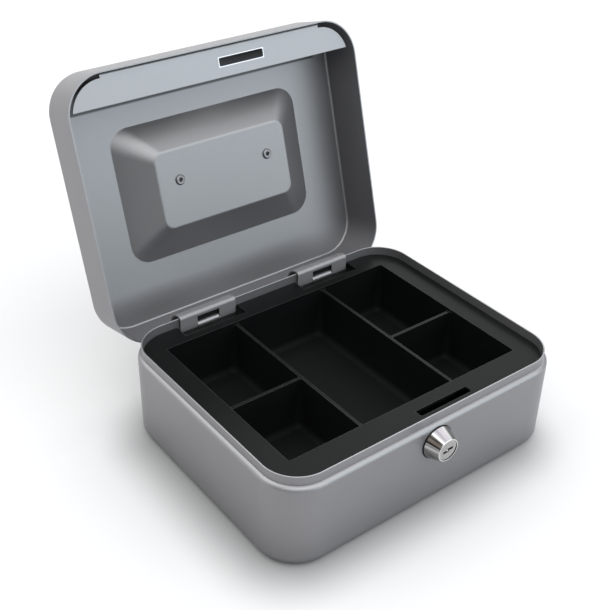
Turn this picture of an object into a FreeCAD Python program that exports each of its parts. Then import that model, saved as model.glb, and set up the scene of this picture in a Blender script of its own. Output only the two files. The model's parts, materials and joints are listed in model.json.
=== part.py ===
import FreeCAD, Part
import math
import os

import Sketcher
from FreeCAD import Placement, Rotation, Vector

# Drawn-steel cash box: a base with a lift-out coin tray, a lid on two gooseneck hinges with a
# folding handle in its well, and a cam lock whose hook reaches through the tray into the lid.
# Millimetres. The origin is the centre of the underside, X right, Y back, Z up. Pieces of the
# lid are drawn with the lid shut and stand turned about the hinge axis, because the box rests open.

# Driving sizes: alias, value, meaning.
SIZES = (
    ("box_width", "200", "outside width of base and lid"),
    ("box_depth", "160", "outside depth of base and lid"),
    ("corner_radius", "24", "outside radius of the upright corners"),
    ("sheet", "0.8", "steel sheet of base, lid and lock plate"),
    ("floor_radius", "5", "outside radius between base wall and underside"),
    ("shoulder_height", "54.4", "top of the shoulder under the lip"),
    ("shoulder_radius", "3", "outside radius of the shoulder"),
    ("lip_inset", "2.3", "step from the wall in to the lip"),
    ("lip_height", "5.6", "lip above the shoulder"),
    ("edge_round", "0.3", "rounding of the cut edges of the lip and the lock plate"),
    ("lid_height", "30.4", "lid from rim to top"),
    ("lid_draft", "1", "taper of each lid wall from rim to top"),
    ("lid_edge_radius", "2.2", "outside radius round the top of the lid"),
    ("lid_open_angle", "105.7", "opening angle of the lid"),
    ("well_length", "132.7", "mouth of the handle well across the lid"),
    ("well_width", "83.1", "mouth of the handle well, front to back"),
    ("well_mid", "0.1", "middle of the mouth, front to back"),
    ("well_corner", "12.2", "corner radius of the mouth"),
    ("well_drop", "13.2", "depth of the handle well"),
    ("well_edge_radius", "1.6", "rounding of the mouth"),
    ("well_floor_length", "93.1", "floor of the well across the lid"),
    ("well_floor_width", "46.4", "floor of the well, front to back"),
    ("well_floor_mid", "-0.9", "middle of the floor, front to back"),
    ("well_floor_corner", "6", "corner radius of the floor"),
    ("well_floor_radius", "1.6", "rounding between the floor and its slopes"),
    ("pin_diameter", "2", "hinge pin"),
    ("running_fit", "0.03", "radial clearance of pins and journals"),
    ("hinge_drop", "3.2", "hinge axis below the shoulder"),
    ("hinge_spread", "87.4", "distance between the middles of the hinges"),
    ("leaf_thickness", "1.2", "strip of the base leaf of a hinge"),
    ("leaf_height", "11", "weld plate of the base leaf"),
    ("leaf_neck", "2.6", "top of the weld plate below the hinge axis"),
    ("leaf_curl", "285", "degrees that the leaf curls round its pin"),
    ("arm_width", "39", "width of a hinge arm"),
    ("arm_thickness", "0.8", "strip of a hinge arm"),
    ("arm_curl", "280", "degrees that the arm curls round its pin"),
    ("arm_bend", "1.6", "bends of the arm, at mid thickness"),
    ("arm_lip_gap", "0.4", "gooseneck outside the lip, about the hinge axis"),
    ("arm_foot", "10", "weld foot of the arm on the lid wall"),
    ("window_width", "15.8", "window of the arm round the middle knuckle"),
    ("window_reach", "7.3", "top of the window from the hinge axis"),
    ("window_gap", "0.4", "middle knuckle to each side of the window"),
    ("tray_rise", "0.2", "top of the tray above the shoulder"),
    ("tray_flange", "1.6", "thickness of the tray flange"),
    ("tray_edge_gap", "0.5", "tray flange to the inside of the lip"),
    ("tray_wall", "1.6", "walls and floor of the tray"),
    ("tray_depth", "33.4", "top of the tray down to the inside of its floor"),
    ("tray_side", "14.9", "tray flange on each side of the opening"),
    ("tray_front", "19.4", "tray flange in front of the opening"),
    ("tray_back", "15.2", "tray flange behind the opening"),
    ("tray_draft", "1.2", "taper of each compartment wall over its depth"),
    ("divider", "1.8", "thickness of the dividers"),
    ("divider_spread", "66", "distance between the two long dividers"),
    ("divider_sink", "1.6", "top of the dividers below the tray flange"),
    ("cross_divider_mid", "-3.6", "place of the cross dividers, front to back"),
    ("pocket_corner", "1.2", "upright corners of a compartment at the top"),
    ("pocket_floor_corner", "6", "upright corners of a compartment at the floor"),
    ("pocket_floor_radius", "4", "rounding of a compartment floor"),
    ("notch_gap", "2", "tray notch to each side of a hinge arm"),
    ("swing_gap", "0.7", "moving pieces to what they swing past"),
    ("rest_thickness", "1", "strip of a tray rest"),
    ("rest_height", "14", "weld face of a tray rest"),
    ("rest_reach", "10.5", "shelf of a tray rest, out from the wall"),
    ("rest_length", "90", "length of a tray rest"),
    ("rest_bend", "1.6", "bend of a tray rest at mid thickness"),
    ("rest_gap", "0.1", "tray flange above its rests"),
    ("plate_rise", "3.2", "lock plate above the rim of the lid"),
    ("plate_rest", "0.2", "lock plate of the shut lid above the lip"),
    ("plate_depth", "15.6", "lock plate, front to back, without its flange"),
    ("plate_inset", "3.2", "lock plate to the walls of the lid"),
    ("plate_flange_length", "151", "weld flange of the lock plate"),
    ("plate_bend", "1.6", "bend of the lock plate at mid thickness"),
    ("plate_foot", "8", "weld face of the lock plate on the lid wall"),
    ("plate_slot_length", "31.4", "cam slot of the lock plate"),
    ("plate_slot_mid", "16.7", "middle of the plate slot, to the right of the lock"),
    ("plate_slot_shift", "-0.5", "plate slot behind the cam"),
    ("tray_slot_length", "37.6", "cam slot of the tray"),
    ("tray_slot_mid", "15.6", "middle of the tray slot, to the right of the lock"),
    ("tray_slot_shift", "1.2", "tray slot behind the cam"),
    ("slot_width", "5", "width of both cam slots"),
    ("slot_corner", "0.8", "corner radius of both cam slots"),
    ("lock_drop", "12.3", "lock axis below the top of the tray"),
    ("bezel_base", "20", "diameter of the lock bezel at the wall"),
    ("bezel_rim", "0.8", "straight rim of the bezel at the wall"),
    ("bezel_face", "14", "diameter of the bezel face"),
    ("bezel_height", "9", "bezel in front of the wall"),
    ("bezel_round", "0.5", "rounding of the bezel face"),
    ("barrel", "16", "diameter of the lock barrel behind the wall"),
    ("barrel_flat", "14", "width across the two flats of the barrel"),
    ("barrel_length", "10.2", "barrel behind the front of the wall"),
    ("barrel_fit", "0.05", "barrel in its hole, nut and washer"),
    ("washer_diameter", "18", "washer under the lock nut"),
    ("washer", "0.8", "thickness of the washer"),
    ("nut", "3.4", "thickness of the lock nut"),
    ("nut_flats", "19", "width across the flats of the nut"),
    ("plug_head", "12", "diameter of the plug head's seat"),
    ("plug_head_length", "2.4", "depth of the plug head's seat"),
    ("plug_sink", "0.3", "plug face behind the bezel face"),
    ("plug", "10", "diameter of the plug's bore"),
    ("plug_fit", "0.05", "radial clearance of the plug"),
    ("plug_stand", "0.2", "plug shoulder behind the barrel"),
    ("keyway_length", "7", "keyway, long way"),
    ("keyway_width", "1.5", "keyway, narrow way"),
    ("keyway_jog", "1", "step between the two halves of the keyway"),
    ("keyway_depth", "14", "keyway from the plug face"),
    ("wafer", "1", "thickness of a wafer"),
    ("wafer_width", "6", "width of a wafer"),
    ("wafer_pitch", "2.2", "distance from wafer to wafer"),
    ("wafer_first", "4.4", "first wafer behind the plug face"),
    ("wafer_fit", "0.04", "wafer in its slot"),
    ("wafer_travel", "1.1", "travel of the wafers out of the plug"),
    ("groove_depth", "1.4", "wafer grooves in the barrel"),
    ("groove_fit", "0.1", "wafer to each side of a groove"),
    ("stem", "6", "square stem of the plug"),
    ("stem_fit", "0.04", "stem in the square hole of the cam"),
    ("cam", "1.5", "thickness of the cam"),
    ("cam_reach", "30", "tip of the cam from the lock axis"),
    ("cam_hub", "7.4", "hub radius of the cam"),
    ("cam_back", "6", "back edge of the cam from its middle line"),
    ("cam_neck", "2.2", "front edge of the neck from the middle line"),
    ("cam_beak", "7", "tip of the hook from the middle line"),
    ("cam_hold", "0.7", "gap between hook and plate when locked"),
    ("cam_washer_diameter", "9", "washer of the cam screw"),
    ("cam_washer", "0.6", "thickness of that washer"),
    ("screw", "4", "cam screw"),
    ("screw_head", "7", "head of the cam screw"),
    ("screw_head_height", "2.2", "height of that head"),
    ("screw_length", "5", "cam screw in the plug"),
    ("screw_slot", "1", "driver slot of the cam screw"),
    ("wire", "5", "wire of the carry handle"),
    ("handle_span", "84", "distance between the legs of the handle"),
    ("handle_leg", "25", "pivot to the middle of the grip"),
    ("handle_corner", "10", "bend of the grip at mid wire"),
    ("handle_pivot_bend", "5", "bend of the pivot ends at mid wire"),
    ("handle_pivot_end", "25.5", "free ends of the handle from the middle"),
    ("bracket_width", "10", "width of a handle bracket"),
    ("bracket_thickness", "0.9", "strip of a handle bracket"),
    ("bracket_fit", "0.1", "handle wire in its bracket"),
    ("bracket_curl", "290", "degrees that the bracket curls round the wire"),
    ("bracket_foot", "11.5", "bracket foot from the pivot"),
    ("rivet_offset", "7", "rivet behind the handle pivot"),
    ("rivet_spread", "64", "distance between the handle rivets"),
    ("rivet_mid", "-5.6", "place of the rivets, front to back"),
    ("rivet", "3.2", "rivet shank"),
    ("rivet_fit", "0.05", "rivet in its holes"),
    ("rivet_head", "6.4", "rivet head inside the lid"),
    ("rivet_head_height", "1.1", "height of that head"),
    ("rivet_bore", "1.8", "hollow middle of the rivet"),
    ("rivet_tail", "5", "formed tail on the bracket"),
    ("rivet_tail_height", "1.3", "height of that tail"),
)

# Sizes and places that follow from the driving sizes: alias, formula.
FITS = (
    ("lip_top", "Sizes.shoulder_height + Sizes.lip_height"),
    ("inner_width", "Sizes.box_width - 2 * Sizes.sheet"),
    ("inner_depth", "Sizes.box_depth - 2 * Sizes.sheet"),
    ("inner_corner", "Sizes.corner_radius - Sizes.sheet"),
    ("inner_height", "Sizes.shoulder_height - Sizes.sheet"),
    ("inner_floor_radius", "Sizes.floor_radius - Sizes.sheet"),
    ("inner_shoulder_radius", "Sizes.shoulder_radius - Sizes.sheet"),
    ("lip_width", "Sizes.box_width - 2 * Sizes.lip_inset"),
    ("lip_depth", "Sizes.box_depth - 2 * Sizes.lip_inset"),
    ("lip_corner", "Sizes.corner_radius - Sizes.lip_inset"),
    ("throat_width", "lip_width - 2 * Sizes.sheet"),
    ("throat_depth", "lip_depth - 2 * Sizes.sheet"),
    ("throat_corner", "lip_corner - Sizes.sheet"),
    ("rim", "lip_top + Sizes.plate_rest - Sizes.plate_rise"),
    ("lid_top", "rim + Sizes.lid_height"),
    ("lid_top_width", "Sizes.box_width - 2 * Sizes.lid_draft"),
    ("lid_top_depth", "Sizes.box_depth - 2 * Sizes.lid_draft"),
    ("lid_top_corner", "Sizes.corner_radius - Sizes.lid_draft"),
    ("lid_tilt", "atan(Sizes.lid_draft / Sizes.lid_height)"),
    ("lid_ceiling", "lid_top - Sizes.sheet"),
    ("ceiling_draft", "Sizes.lid_draft * (Sizes.lid_height - Sizes.sheet) / Sizes.lid_height"),
    ("ceiling_width", "inner_width - 2 * ceiling_draft"),
    ("ceiling_depth", "inner_depth - 2 * ceiling_draft"),
    ("ceiling_corner", "inner_corner - ceiling_draft"),
    ("lid_inner_radius", "Sizes.lid_edge_radius - Sizes.sheet"),
    ("well_floor", "lid_top - Sizes.well_drop"),
    ("well_slope", "atan(2 * Sizes.well_drop / (Sizes.well_length - Sizes.well_floor_length))"),
    ("boss_grow", "2 * Sizes.sheet * tan(well_slope / 2)"),
    ("boss_length", "Sizes.well_length + boss_grow"),
    ("boss_width", "Sizes.well_width + boss_grow"),
    ("boss_corner", "Sizes.well_corner + boss_grow / 2"),
    ("boss_floor", "well_floor - Sizes.sheet"),
    ("boss_floor_length", "Sizes.well_floor_length + boss_grow"),
    ("boss_floor_width", "Sizes.well_floor_width + boss_grow"),
    ("boss_floor_corner", "Sizes.well_floor_corner + boss_grow / 2"),
    ("boss_floor_radius", "Sizes.well_floor_radius + Sizes.sheet"),
    ("boss_root_radius", "Sizes.well_edge_radius - Sizes.sheet"),
    ("pin_seat", "Sizes.pin_diameter / 2 + Sizes.running_fit"),
    ("hinge_y", "inner_depth / 2 - Sizes.leaf_thickness - pin_seat"),
    ("hinge_z", "Sizes.shoulder_height - Sizes.hinge_drop"),
    ("hinge_right", "Sizes.hinge_spread / 2"),
    ("hinge_left", "-hinge_right"),
    ("leaf_y", "(inner_depth - Sizes.leaf_thickness) / 2"),
    ("leaf_z", "hinge_z - Sizes.leaf_neck - Sizes.leaf_height / 2"),
    ("pin_length", "Sizes.arm_width + 2 * Sizes.sheet"),
    ("tongue_width", "Sizes.window_width - 2 * Sizes.window_gap"),
    ("lip_corner_reach", "sqrt(pow(lip_top - hinge_z; 2) + pow(lip_depth / 2 - hinge_y; 2))"),
    ("arm_sweep", "lip_corner_reach + Sizes.arm_lip_gap + Sizes.arm_thickness"),
    ("tray_top", "Sizes.shoulder_height + Sizes.tray_rise"),
    ("tray_under", "tray_top - Sizes.tray_flange"),
    ("tray_width", "throat_width - 2 * Sizes.tray_edge_gap"),
    ("tray_length", "throat_depth - 2 * Sizes.tray_edge_gap"),
    ("tray_corner", "throat_corner - Sizes.tray_edge_gap"),
    ("tray_floor", "tray_top - Sizes.tray_depth"),
    ("divider_top", "tray_top - Sizes.divider_sink"),
    ("mouth_front", "Sizes.tray_front - tray_length / 2"),
    ("mouth_back", "tray_length / 2 - Sizes.tray_back"),
    ("mouth_mid", "(mouth_front + mouth_back) / 2"),
    ("mouth_length", "tray_width - 2 * Sizes.tray_side"),
    ("mouth_width", "mouth_back - mouth_front"),
    ("tub_length", "mouth_length + 2 * Sizes.tray_wall"),
    ("tub_width", "mouth_width + 2 * Sizes.tray_wall"),
    ("tub_corner", "Sizes.pocket_corner + Sizes.tray_wall"),
    ("tub_floor_length", "tub_length - 2 * Sizes.tray_draft"),
    ("tub_floor_width", "tub_width - 2 * Sizes.tray_draft"),
    ("tub_floor_corner", "Sizes.pocket_floor_corner + Sizes.tray_wall"),
    ("tub_floor_radius", "Sizes.pocket_floor_radius + Sizes.tray_wall"),
    ("tub_floor", "tray_floor - Sizes.tray_wall"),
    ("middle_length", "Sizes.divider_spread - Sizes.divider"),
    ("middle_width", "mouth_width"),
    ("side_length", "(mouth_length - Sizes.divider_spread - Sizes.divider) / 2"),
    ("side_right", "(mouth_length - side_length) / 2"),
    ("side_left", "-side_right"),
    ("front_width", "Sizes.cross_divider_mid - Sizes.divider / 2 - mouth_front"),
    ("front_mid", "mouth_front + front_width / 2"),
    ("back_width", "mouth_back - Sizes.cross_divider_mid - Sizes.divider / 2"),
    ("back_mid", "mouth_back - back_width / 2"),
    ("middle_length_low", "middle_length - 2 * Sizes.tray_draft"),
    ("middle_width_low", "middle_width - 2 * Sizes.tray_draft"),
    ("side_length_low", "side_length - 2 * Sizes.tray_draft"),
    ("front_width_low", "front_width - 2 * Sizes.tray_draft"),
    ("back_width_low", "back_width - 2 * Sizes.tray_draft"),
    ("notch_width", "Sizes.arm_width + 2 * Sizes.notch_gap"),
    ("notch_front", "hinge_y - arm_sweep - Sizes.swing_gap"),
    ("notch_depth", "tray_length / 2 - notch_front + 1"),
    ("notch_mid", "notch_front + notch_depth / 2"),
    ("rest_top", "tray_under - Sizes.rest_gap"),
    ("plate_under", "rim + Sizes.plate_rise"),
    ("plate_width", "inner_width - 2 * Sizes.plate_inset"),
    ("plate_length", "inner_depth - 2 * Sizes.plate_inset"),
    ("plate_corner", "inner_corner - Sizes.plate_inset"),
    ("plate_waste_mid", "Sizes.plate_depth"),
    ("lock_z", "tray_top - Sizes.lock_drop"),
    ("barrel_hole", "Sizes.barrel + 2 * Sizes.barrel_fit"),
    ("flat_hole", "Sizes.barrel_flat + 2 * Sizes.barrel_fit"),
    ("nut_seat", "Sizes.sheet + Sizes.washer"),
    ("plug_front", "Sizes.plug_sink - Sizes.bezel_height"),
    ("plug_step", "Sizes.plug_head_length - Sizes.bezel_height"),
    ("plug_shoulder", "Sizes.barrel_length + Sizes.plug_stand"),
    ("stem_end", "plug_shoulder + Sizes.cam - 0.1"),
    ("cam_back_face", "plug_shoulder + Sizes.cam"),
    ("cam_mid", "(plug_shoulder + cam_back_face - Sizes.box_depth) / 2"),
    ("screw_seat", "cam_back_face + Sizes.cam_washer"),
    ("plate_slot_y", "cam_mid + Sizes.plate_slot_shift"),
    ("tray_slot_y", "cam_mid + Sizes.tray_slot_shift"),
    ("plug_body", "Sizes.plug - 2 * Sizes.plug_fit"),
    ("plug_cap", "Sizes.plug_head - 2 * Sizes.plug_fit"),
    ("keyway_half", "0.6 * Sizes.keyway_length"),
    ("keyway_right", "0.2 * Sizes.keyway_length"),
    ("keyway_left", "0 - keyway_right"),
    ("keyway_low", "Sizes.keyway_jog / 2"),
    ("keyway_high", "0 - keyway_low"),
    ("wafer_slot", "Sizes.wafer + 2 * Sizes.wafer_fit"),
    ("wafer_slot_width", "Sizes.wafer_width + 2 * Sizes.wafer_fit"),
    ("wafer_round", "plug_body - 2 * Sizes.wafer_fit"),
    ("wafer_start", "plug_front + Sizes.wafer_first"),
    ("wafer_window_length", "Sizes.keyway_length + 0.6"),
    ("wafer_window_width", "Sizes.keyway_width + Sizes.keyway_jog + 0.3"),
    ("groove_length", "Sizes.plug + 2 * Sizes.groove_depth"),
    ("groove_width", "Sizes.wafer_width + 2 * Sizes.groove_fit"),
    ("groove_reach", "Sizes.barrel_length - wafer_start + Sizes.wafer"),
    ("cam_hole", "Sizes.stem + 2 * Sizes.stem_fit"),
    ("hook_low", "plate_under - lock_z - Sizes.cam_hold"),
    ("hook_high", "sqrt(pow(plate_under + Sizes.sheet - lock_z + 0.3; 2) + pow(Sizes.cam_beak; 2))"),
    ("hook_end", "Sizes.plate_slot_mid - Sizes.plate_slot_length / 2 + Sizes.cam_hold"),
    ("screw_hole", "Sizes.screw + 2 * Sizes.running_fit"),
    ("screw_hole_depth", "Sizes.screw_length + 0.5"),
    ("bracket_seat", "Sizes.wire / 2 + Sizes.bracket_fit"),
    ("handle_y", "Sizes.rivet_mid - Sizes.rivet_offset"),
    ("handle_z", "well_floor + bracket_seat + Sizes.bracket_thickness"),
    ("rivet_right", "Sizes.rivet_spread / 2"),
    ("rivet_left", "-rivet_right"),
    ("rivet_hole", "Sizes.rivet + 2 * Sizes.rivet_fit"),
    ("bracket_top", "well_floor + Sizes.bracket_thickness"),
)

doc = FreeCAD.newDocument("CashBox")


def make_sheet(name, rows, lead):
    """Fills a spreadsheet: the alias of each row in column A, its cell in column B."""
    sheet = doc.addObject("Spreadsheet::Sheet", name)
    for number_of_row, row in enumerate(rows, 1):
        cell = f"B{number_of_row}"
        sheet.set(f"A{number_of_row}", row[-1])
        sheet.set(cell, lead + row[1])
        sheet.setAlias(cell, row[0])
    doc.recompute()


make_sheet("Sizes", SIZES, "")
make_sheet("Fits", FITS, "=")


def value(name):
    """Number behind Sizes.alias or Fits.alias, twice that, or the plain number that the text holds."""
    if name.startswith("2 * "):
        return 2 * value(name[4:])
    if not name[0].isalpha():
        return float(name)
    sheet, alias = name.split(".")
    content = doc.getObject(sheet).get(alias)
    return float(getattr(content, "Value", content))


def new_body(label):
    body = doc.addObject("PartDesign::Body", label)
    body.Label = label
    return body


def sketch_on(body, role, name, offset="0"):
    """Sketch on one of the body's origin planes, moved along the plane's normal."""
    plane = next(item for item in body.Origin.OriginFeatures if item.Role == role)
    sketch = body.newObject("Sketcher::SketchObject", name)
    sketch.AttachmentSupport = [(plane, "")]
    sketch.MapMode = "FlatFace"
    sketch.setExpression("AttachmentOffset.Base.z", offset)
    return sketch


def dimension(sketch, expression, kind, *reference):
    """Adds a dimension that follows an expression of the spreadsheets."""
    index = sketch.addConstraint(Sketcher.Constraint(kind, *reference))
    sketch.setExpression(f"Constraints[{index}]", expression)


def place_rectangle(sketch, sides, length, width, mid_x, mid_y):
    """Squares and dimensions four sides, given in order from the low one, anticlockwise."""
    low, right, high, left = sides
    half_length = value(length) / 2
    half_width = value(width) / 2
    for side in (low, high):
        sketch.addConstraint(Sketcher.Constraint("Horizontal", side))
    for side in (right, left):
        sketch.addConstraint(Sketcher.Constraint("Vertical", side))
    dimension(sketch, length, "DistanceX", left, 1, right, 1, 2 * half_length)
    dimension(sketch, width, "DistanceY", low, 1, high, 1, 2 * half_width)
    dimension(sketch, f"{mid_x} + {length} / 2", "DistanceX", -1, 1, right, 1, value(mid_x) + half_length)
    dimension(sketch, f"{mid_y} + {width} / 2", "DistanceY", -1, 1, high, 1, value(mid_y) + half_width)


def rectangle(sketch, length, width, mid_x="0", mid_y="0"):
    x = value(mid_x)
    y = value(mid_y)
    half_length = value(length) / 2
    half_width = value(width) / 2
    corners = [
        Vector(x - half_length, y - half_width),
        Vector(x + half_length, y - half_width),
        Vector(x + half_length, y + half_width),
        Vector(x - half_length, y + half_width),
    ]
    sides = []
    for start, end in zip(corners, corners[1:] + corners[:1]):
        sides.append(sketch.addGeometry(Part.LineSegment(start, end)))
    for side, following in zip(sides, sides[1:] + sides[:1]):
        sketch.addConstraint(Sketcher.Constraint("Coincident", side, 2, following, 1))
    place_rectangle(sketch, sides, length, width, mid_x, mid_y)


def rounded_rectangle(sketch, length, width, radius, mid_x="0", mid_y="0"):
    bend = value(radius)
    run_x = value(length) / 2 - bend
    run_y = value(width) / 2 - bend
    middle = Vector(value(mid_x), value(mid_y))
    sides = []
    arcs = []
    for turn, (sign_x, sign_y) in enumerate(((1, -1), (1, 1), (-1, 1), (-1, -1))):
        before = math.radians(90 * (turn - 1))
        along = Vector(math.cos(before + math.pi / 2), math.sin(before + math.pi / 2))
        centre = middle + Vector(sign_x * run_x, sign_y * run_y)
        outwards = Vector(math.cos(before), math.sin(before)) * bend
        length_of_side = 2 * (run_x if turn % 2 == 0 else run_y)
        end = centre + outwards
        sides.append(sketch.addGeometry(Part.LineSegment(end - along * length_of_side, end)))
        circle_of_corner = Part.Circle(centre, Vector(0, 0, 1), bend)
        arcs.append(sketch.addGeometry(Part.ArcOfCircle(circle_of_corner, before, before + math.pi / 2)))
    for turn in range(4):
        sketch.addConstraint(Sketcher.Constraint("Tangent", sides[turn], 2, arcs[turn], 1))
        sketch.addConstraint(Sketcher.Constraint("Tangent", arcs[turn], 2, sides[(turn + 1) % 4], 1))
        if turn:
            sketch.addConstraint(Sketcher.Constraint("Equal", arcs[0], arcs[turn]))
    dimension(sketch, radius, "Radius", arcs[0], bend)
    place_rectangle(sketch, sides, length, width, mid_x, mid_y)


def circle(sketch, diameter, x="0", y="0"):
    round_edge = Part.Circle(Vector(value(x), value(y)), Vector(0, 0, 1), value(diameter) / 2)
    index = sketch.addGeometry(round_edge)
    dimension(sketch, diameter, "Diameter", index, value(diameter))
    dimension(sketch, x, "DistanceX", -1, 1, index, 3, value(x))
    dimension(sketch, y, "DistanceY", -1, 1, index, 3, value(y))


def double_d(sketch, diameter, flats):
    """Circle cut by two flats that face up and down the sketch."""
    radius = value(diameter) / 2
    flat = value(flats) / 2
    corner = math.asin(flat / radius)
    reach = radius * math.cos(corner)
    rim = Part.Circle(Vector(0, 0), Vector(0, 0, 1), radius)
    sketch.addGeometry(Part.ArcOfCircle(rim, -corner, corner))
    sketch.addGeometry(Part.LineSegment(Vector(reach, flat), Vector(-reach, flat)))
    sketch.addGeometry(Part.ArcOfCircle(rim, math.pi - corner, math.pi + corner))
    sketch.addGeometry(Part.LineSegment(Vector(-reach, -flat), Vector(reach, -flat)))
    for index in range(4):
        sketch.addConstraint(Sketcher.Constraint("Coincident", index, 2, (index + 1) % 4, 1))
    for index in (0, 2):
        sketch.addConstraint(Sketcher.Constraint("Coincident", index, 3, -1, 1))
        dimension(sketch, f"{diameter} / 2", "Radius", index, radius)
    for index in (1, 3):
        sketch.addConstraint(Sketcher.Constraint("Horizontal", index))
    dimension(sketch, f"{flats} / 2", "DistanceY", -1, 1, 1, 1, flat)
    dimension(sketch, f"{flats} / 2", "DistanceY", 3, 1, -1, 1, flat)


def polygon(sketch, corners):
    points = [Vector(x, y) for x, y in corners]
    for start, end in zip(points, points[1:] + points[:1]):
        sketch.addGeometry(Part.LineSegment(start, end))


def bent_strip(sketch, start, heading, thickness, steps):
    """Edge view of a bent strip along its mid line: runs (length,) and bends (radius, degrees left)."""
    half = value(thickness) / 2
    x, y = start
    angle = math.radians(heading)
    edges = []
    ends = []

    def side_points():
        return [Vector(x - math.sin(angle) * shift, y + math.cos(angle) * shift) for shift in (half, -half)]

    ends.append(side_points())
    for step in steps:
        before = side_points()
        if len(step) == 1:
            x += step[0] * math.cos(angle)
            y += step[0] * math.sin(angle)
            for first, last in zip(before, side_points()):
                edges.append(Part.LineSegment(first, last))
            continue
        radius, degrees = step
        way = math.copysign(1, degrees)
        centre = Vector(x - math.sin(angle) * radius * way, y + math.cos(angle) * radius * way)
        from_angle = angle - way * math.pi / 2
        angle += math.radians(degrees)
        to_angle = angle - way * math.pi / 2
        x = centre.x + math.cos(to_angle) * radius
        y = centre.y + math.sin(to_angle) * radius
        for shift in (half, -half):
            bend = Part.Circle(centre, Vector(0, 0, 1), radius - way * shift)
            edges.append(Part.ArcOfCircle(bend, min(from_angle, to_angle), max(from_angle, to_angle)))
    ends.append(side_points())
    for left, right in ends:
        edges.append(Part.LineSegment(left, right))
    sketch.addGeometry(edges)


def pad(body, sketch, length, both_ways=False, back=False):
    """Solid from a sketch, along its normal, back from it, or half to each side."""
    item = body.newObject("PartDesign::Pad", sketch.Name + "Pad")
    item.Profile = sketch
    item.setExpression("Length", length)
    item.Midplane = both_ways
    item.Reversed = back
    doc.recompute()
    return item


def cut(body, sketch, length, both_ways=False, ahead=False):
    """Pocket against the normal of a sketch, ahead along it, or half to each side."""
    volume = body.Tip.Shape.Volume
    item = body.newObject("PartDesign::Pocket", sketch.Name + "Pocket")
    item.Profile = sketch
    item.setExpression("Length", length)
    item.Midplane = both_ways
    item.Reversed = ahead
    doc.recompute()
    if not item.Shape.Volume < volume:
        raise RuntimeError(f"{item.Name} cuts nothing")
    return item


def loft(body, kind, first, second):
    """Straight-sided transition between two sketches, Additive or Subtractive."""
    item = body.newObject(f"PartDesign::{kind}Loft", first.Name + "Loft")
    item.Profile = first
    item.Sections = [second]
    item.Ruled = True
    doc.recompute()
    return item


def revolve(body, sketch):
    """Solid of revolution about the upright axis of the sketch."""
    item = body.newObject("PartDesign::Revolution", sketch.Name + "Turn")
    item.Profile = sketch
    item.ReferenceAxis = (sketch, ["V_Axis"])
    item.Angle = 360
    doc.recompute()
    return item


def level_edges(height, keep=None):
    """Test for edges that lie at one height, and pass a further test."""
    def test(edge):
        box = edge.BoundBox
        level = abs(box.ZMin - height) < 1e-4 and abs(box.ZMax - height) < 1e-4
        return level and (keep is None or keep(edge))
    return test


def across(y):
    """Test for edges that run across the box at one place, front to back."""
    def test(edge):
        box = edge.BoundBox
        level = abs(box.YMin - y) < 1e-4 and abs(box.YMax - y) < 1e-4
        return level and box.XLength > 1
    return test


def round_edges(body, name, radius, test):
    base = body.Tip
    names = [f"Edge{index}" for index, edge in enumerate(base.Shape.Edges, 1) if test(edge)]
    item = body.newObject("PartDesign::Fillet", name)
    item.Base = (base, names)
    item.setExpression("Radius", radius)
    doc.recompute()
    if not item.isValid():
        raise RuntimeError(f"{name} of {body.Label} failed on {len(names)} edges")
    return item


def outside(width, depth):
    """Test for edges that reach out at least as far as a rectangle does, on X or on Y."""
    half_width = value(width) / 2 - 1e-3
    half_depth = value(depth) / 2 - 1e-3

    def test(edge):
        box = edge.BoundBox
        reach_x = max(abs(box.XMin), abs(box.XMax))
        reach_y = max(abs(box.YMin), abs(box.YMax))
        return reach_x > half_width or reach_y > half_depth
    return test


HINGE_Y = value("Fits.hinge_y")
HINGE_Z = value("Fits.hinge_z")
LID_OPEN = Placement(Vector(), Rotation(Vector(1, 0, 0), -value("Sizes.lid_open_angle")),
                     Vector(0, HINGE_Y, HINGE_Z))
# Lock pieces are drawn with the lock axis upright, from the front of the wall inwards.
LOCK_PLACE = Placement(Vector(0, -value("Sizes.box_depth") / 2, value("Fits.lock_z")),
                       Rotation(Vector(1, 0, 0), -90))
SIDES = (("left", -1), ("right", 1))
WAFERS = range(4)


def base_shell():
    """Drawn tub: wall, rounded shoulder and an inset lip that the lid fits over."""
    body = new_body("base_shell")
    tub = sketch_on(body, "XY_Plane", "Tub")
    rounded_rectangle(tub, "Sizes.box_width", "Sizes.box_depth", "Sizes.corner_radius")
    pad(body, tub, "Sizes.shoulder_height")
    hollow = sketch_on(body, "XY_Plane", "Hollow", "Fits.inner_height")
    rounded_rectangle(hollow, "Fits.inner_width", "Fits.inner_depth", "Fits.inner_corner")
    cut(body, hollow, "Fits.inner_height - Sizes.sheet")
    round_edges(body, "InnerFloorEdge", "Fits.inner_floor_radius", level_edges(value("Sizes.sheet")))
    round_edges(body, "InnerShoulder", "Fits.inner_shoulder_radius", level_edges(value("Fits.inner_height")))
    round_edges(body, "FloorEdge", "Sizes.floor_radius", level_edges(0))
    round_edges(body, "Shoulder", "Sizes.shoulder_radius", level_edges(value("Sizes.shoulder_height")))
    lip = sketch_on(body, "XY_Plane", "Lip", "Fits.lip_top")
    rounded_rectangle(lip, "Fits.lip_width", "Fits.lip_depth", "Fits.lip_corner")
    pad(body, lip, "Sizes.lip_height + Sizes.sheet / 2", back=True)
    throat = sketch_on(body, "XY_Plane", "Throat", "Fits.lip_top")
    rounded_rectangle(throat, "Fits.throat_width", "Fits.throat_depth", "Fits.throat_corner")
    cut(body, throat, "Fits.lip_top - Fits.inner_height")
    round_edges(body, "LipEdge", "Sizes.edge_round", level_edges(value("Fits.lip_top")))
    hole = sketch_on(body, "XZ_Plane", "LockHole", "Sizes.box_depth / 2")
    double_d(hole, "Fits.barrel_hole", "Fits.flat_hole")
    hole.setExpression("AttachmentOffset.Base.y", "Fits.lock_z")
    cut(body, hole, "4 * Sizes.sheet")
    return body


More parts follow.
